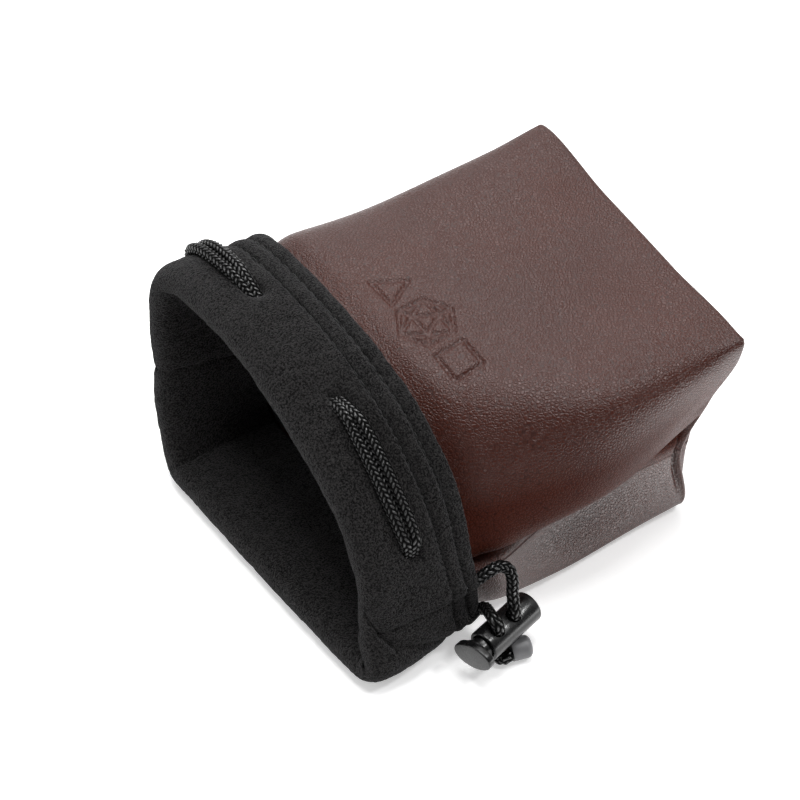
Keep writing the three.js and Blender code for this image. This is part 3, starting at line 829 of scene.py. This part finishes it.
def material(name, build):
    if name not in _made:
        made = bpy.data.materials.new(name)
        made.use_nodes = True
        _made[name] = made
        build(made.node_tree, made.node_tree.nodes["Principled BSDF"])
    return _made[name]


class Nodes:
    """Small helpers to write a node tree as nested calls."""

    def __init__(self, tree):
        self.tree = tree
        self.where = tree.nodes.new("ShaderNodeTexCoord").outputs["Object"]

    def link(self, source, target):
        if isinstance(source, (int, float, tuple)):
            target.default_value = source
        else:
            self.tree.links.new(source, target)

    def noise(self, scale, detail=2.0, vector=None, rough=0.5):
        node = self.tree.nodes.new("ShaderNodeTexNoise")
        node.inputs["Scale"].default_value = scale
        node.inputs["Detail"].default_value = detail
        node.inputs["Roughness"].default_value = rough
        self.link(vector or self.where, node.inputs["Vector"])
        return node

    def voronoi(self, scale, feature, vector=None):
        node = self.tree.nodes.new("ShaderNodeTexVoronoi")
        node.feature = feature
        node.inputs["Scale"].default_value = scale
        self.link(vector or self.where, node.inputs["Vector"])
        return node.outputs["Distance"]

    def math(self, operation, a, b=0.0):
        node = self.tree.nodes.new("ShaderNodeMath")
        node.operation = operation
        self.link(a, node.inputs[0])
        self.link(b, node.inputs[1])
        return node.outputs[0]

    def span(self, value, lo, hi, to_lo=0.0, to_hi=1.0):
        node = self.tree.nodes.new("ShaderNodeMapRange")
        node.interpolation_type = "SMOOTHSTEP"
        self.link(value, node.inputs["Value"])
        for key, number in (("From Min", lo), ("From Max", hi), ("To Min", to_lo), ("To Max", to_hi)):
            node.inputs[key].default_value = number
        return node.outputs["Result"]

    def mix(self, factor, a, b):
        node = self.tree.nodes.new("ShaderNodeMix")
        node.data_type = "RGBA"
        self.link(factor, node.inputs["Factor"])
        self.link(a, node.inputs["A"])
        self.link(b, node.inputs["B"])
        return node.outputs["Result"]

    def shift(self, amount, scale):
        """The coordinates, pushed about by noise."""
        node = self.tree.nodes.new("ShaderNodeVectorMath")
        node.operation = "MULTIPLY_ADD"
        self.link(self.noise(scale).outputs["Color"], node.inputs[0])
        node.inputs[1].default_value = (amount,) * 3
        self.link(self.where, node.inputs[2])
        return node.outputs[0]

    def attribute(self, name):
        node = self.tree.nodes.new("ShaderNodeAttribute")
        node.attribute_name = name
        return node.outputs["Fac"]

    def distance(self, point):
        """How far the place is from a point, in metres."""
        node = self.tree.nodes.new("ShaderNodeVectorMath")
        node.operation = "DISTANCE"
        self.link(self.where, node.inputs[0])
        node.inputs[1].default_value = point
        return node.outputs["Value"]

    def bump(self, height, distance, normal=None):
        node = self.tree.nodes.new("ShaderNodeBump")
        node.inputs["Distance"].default_value = distance
        self.link(height, node.inputs["Height"])
        if normal is not None:
            self.link(normal, node.inputs["Normal"])
        return node.outputs["Normal"]


def leather_material():
    def build(tree, shader):
        n = Nodes(tree)
        wobble = n.shift(0.0005, 1000)
        cells = n.voronoi(1120, "DISTANCE_TO_EDGE", wobble)
        small = n.voronoi(2300, "DISTANCE_TO_EDGE", wobble)
        pebble = n.span(cells, 0.0, 0.3)
        wrinkle = n.span(small, 0.0, 0.3)
        # Painted shade: the grain's grooves are coloured darker, as if shadowed.
        painted_groove_shade = n.span(cells, 0.0, 0.1)
        height = n.math("ADD", n.math("MULTIPLY", pebble, 0.85), n.math("MULTIPLY", wrinkle, 0.15))
        slow = n.noise(26, 3).outputs["Fac"]
        tone = n.mix(n.span(slow, 0.3, 0.7), (0.044, 0.0092, 0.0048, 1), (0.055, 0.0124, 0.0066, 1))
        colour = n.mix(painted_groove_shade, (0.020, 0.0040, 0.0023, 1), tone)
        n.link(colour, shader.inputs["Base Color"])
        rough = n.math("ADD", n.span(height, 0.0, 0.7, 0.42, 0.28), n.math("MULTIPLY", slow, 0.06))
        n.link(rough, shader.inputs["Roughness"])
        n.link(n.bump(height, 0.00011), shader.inputs["Normal"])
        n.link(n.attribute("gloss"), shader.inputs["Specular IOR Level"])
    return material("pebbled_leatherette", build)


def fleece_material():
    def build(tree, shader):
        n = Nodes(tree)
        tufts = n.noise(2000, 2, None, 0.65).outputs["Fac"]
        fine = n.noise(4200, 2).outputs["Fac"]
        height = n.math("ADD", n.span(tufts, 0.3, 0.7), n.math("MULTIPLY", fine, 0.5))
        slow = n.noise(140, 3).outputs["Fac"]
        # Painted light and shade: the tops of the tufts are coloured lighter and the hollows between them
        # near black.
        painted_tuft_light_and_shade = n.mix(n.span(height, 0.4, 1.3), (0.0006, 0.0006, 0.0006, 1), (0.034, 0.0322, 0.032, 1))
        colour = n.mix(n.span(slow, 0.35, 0.7, 0.0, 0.2), painted_tuft_light_and_shade, (0.017, 0.016, 0.016, 1))
        n.link(colour, shader.inputs["Base Color"])
        shader.inputs["Roughness"].default_value = 1.0
        shader.inputs["Specular IOR Level"].default_value = 0.1
        shader.inputs["Sheen Weight"].default_value = 0.14
        shader.inputs["Sheen Roughness"].default_value = 0.45
        shader.inputs["Sheen Tint"].default_value = (0.55, 0.55, 0.57, 1)
        n.link(n.bump(height, 0.00035), shader.inputs["Normal"])
    return material("black_fleece", build)


def thread_material():
    def build(tree, shader):
        n = Nodes(tree)
        twist = n.noise(5200, 1).outputs["Fac"]
        n.link(n.mix(twist, (0.004, 0.004, 0.004, 1), (0.012, 0.012, 0.012, 1)), shader.inputs["Base Color"])
        shader.inputs["Roughness"].default_value = 0.6
        n.link(n.bump(twist, 0.0001), shader.inputs["Normal"])
    return material("sewing_thread", build)


def cord_material():
    def build(tree, shader):
        n = Nodes(tree)
        filaments = n.noise(2600, 2, n.shift(0.0004, 1200)).outputs["Fac"]
        colour = n.mix(n.span(filaments, 0.35, 0.7), (0.0015, 0.0015, 0.0015, 1), (0.006, 0.006, 0.006, 1))
        n.link(colour, shader.inputs["Base Color"])
        n.link(n.span(n.attribute("crown"), 0.45, 0.95, 0.02, 0.95), shader.inputs["Specular IOR Level"])
        n.link(n.span(filaments, 0.3, 0.7, 0.4, 0.22), shader.inputs["Roughness"])
        n.link(n.bump(filaments, 0.00012), shader.inputs["Normal"])
    return material("braided_nylon", build)


def plastic(name, dark, light, rough, grain):
    def build(tree, shader):
        n = Nodes(tree)
        mottle = n.noise(340, 4).outputs["Fac"]
        n.link(n.mix(mottle, dark, light), shader.inputs["Base Color"])
        n.link(n.span(mottle, 0.3, 0.7, rough, rough + 0.1), shader.inputs["Roughness"])
        n.link(n.bump(n.noise(5200, 2).outputs["Fac"], grain), shader.inputs["Normal"])
    return material(name, build)


def lock_material():
    dark, light = (0.0025, 0.0025, 0.0028, 1), (0.005, 0.005, 0.0053, 1)
    return plastic("satin_black_plastic", dark, light, 0.22, 0.00001)


def end_material():
    dark, light = (0.11, 0.11, 0.115, 1), (0.16, 0.16, 0.165, 1)
    return plastic("satin_grey_plastic", dark, light, 0.35, 0.00002)


def spring_material():
    def build(tree, shader):
        n = Nodes(tree)
        drawn = n.noise(2400, 3).outputs["Fac"]
        n.link(n.mix(drawn, (0.42, 0.42, 0.43, 1), (0.62, 0.62, 0.63, 1)), shader.inputs["Base Color"])
        shader.inputs["Metallic"].default_value = 1.0
        n.link(n.span(drawn, 0.3, 0.7, 0.25, 0.4), shader.inputs["Roughness"])
    return material("spring_steel", build)


# ---- studio -------------------------------------------------------------------------------------------

TARGET = np.array([-18.18, -6.30, 25.0])
AZIMUTH, ELEVATION, DISTANCE = math.radians(54.98), math.radians(48.0), 699.44
BACK = np.array([math.sin(AZIMUTH) * math.cos(ELEVATION), -math.cos(AZIMUTH) * math.cos(ELEVATION),
                 math.sin(ELEVATION)])


MIDDLE_OF_POUCH = (0, 0, 25)
PAPER_GLOW_PATCH = (0.15, 0.075, 0)  # middle, in metres, of a glowing patch of the paper: painted light, a bright spot out of view that the near side reflects


def aim(obj, place, target):
    obj.location = Vector(place) * MM
    obj.rotation_euler = (Vector(target) - Vector(place)).to_track_quat("-Z", "Y").to_euler()
    bpy.context.scene.collection.objects.link(obj)


def softbox(name, place, size, watts):
    light = bpy.data.lights.new(name, "AREA")
    light.shape = "RECTANGLE"
    light.size, light.size_y = size
    light.energy = watts
    aim(bpy.data.objects.new(name, light), place, MIDDLE_OF_POUCH)


def photo_camera():
    camera = bpy.data.cameras.new("camera")
    camera.sensor_width = 36.0
    camera.lens = 108.0
    camera.clip_start = 0.01
    rig = bpy.data.objects.new("camera", camera)
    aim(rig, TARGET + BACK * DISTANCE, TARGET)
    bpy.context.scene.camera = rig


def paper_floor():
    far, under = 3e3, -0.1
    corners = [[-far, -far, under], [far, -far, under], [far, far, under], [-far, far, under]]
    floor = mesh("floor", corners, [[0, 1, 2, 3]])
    paper = bpy.data.materials.new("paper")
    paper.use_nodes = True
    shader = paper.node_tree.nodes["Principled BSDF"]
    shader.inputs["Base Color"].default_value = (0.9, 0.9, 0.9, 1)
    shader.inputs["Roughness"].default_value = 0.8
    shader.inputs["Emission Color"].default_value = (1, 1, 1, 1)
    n = Nodes(paper.node_tree)
    # The paper glows a little all over, and strongly in a patch round the glow's middle: painted light for
    # the near gusset to reflect.
    n.link(n.span(n.distance(PAPER_GLOW_PATCH), 0.04, 0.1, 4.2, 0.42), shader.inputs["Emission Strength"])
    floor.data.materials.append(paper)


def softboxes():
    softbox("key", (-60, 0, 1000), (0.4, 0.4), 6.5)
    softbox("back", (-640, 340, 700), (0.6, 0.6), 4.5)
    softbox("fill", (-420, -760, 260), (0.5, 0.5), 2.0)
    softbox("glint", (330, 330, 820), (0.12, 0.12), 2.6)


def sky():
    """A soft overhead sky, brightest behind the pouch and to its left."""
    world = bpy.data.worlds.new("studio")
    world.use_nodes = True
    bpy.context.scene.world = world
    n = Nodes(world.node_tree)
    towards = world.node_tree.nodes.new("ShaderNodeVectorMath")
    towards.operation = "DOT_PRODUCT"
    n.link(world.node_tree.nodes.new("ShaderNodeTexCoord").outputs["Generated"], towards.inputs[0])
    towards.inputs[1].default_value = (-0.55, 0.45, 0.70)
    background = world.node_tree.nodes["Background"]
    background.inputs["Color"].default_value = (1, 1, 1, 1)
    n.link(n.span(towards.outputs["Value"], -0.35, 0.95, 0.05, 0.6), background.inputs["Strength"])


# ---- build --------------------------------------------------------------------------------------------

leather_panels()
lining_panels()
collar()
stitching()
drawstring_turns()
tails()
lock_barrel()
lock_plunger()
cords_below_lock()
cord_cup()
cord_knot()
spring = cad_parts["lock_spring"]
spring.data.materials.clear()
spring.data.materials.append(spring_material())
photo_camera()
paper_floor()
softboxes()
sky()
bpy.context.scene.view_settings.view_transform = "Standard"
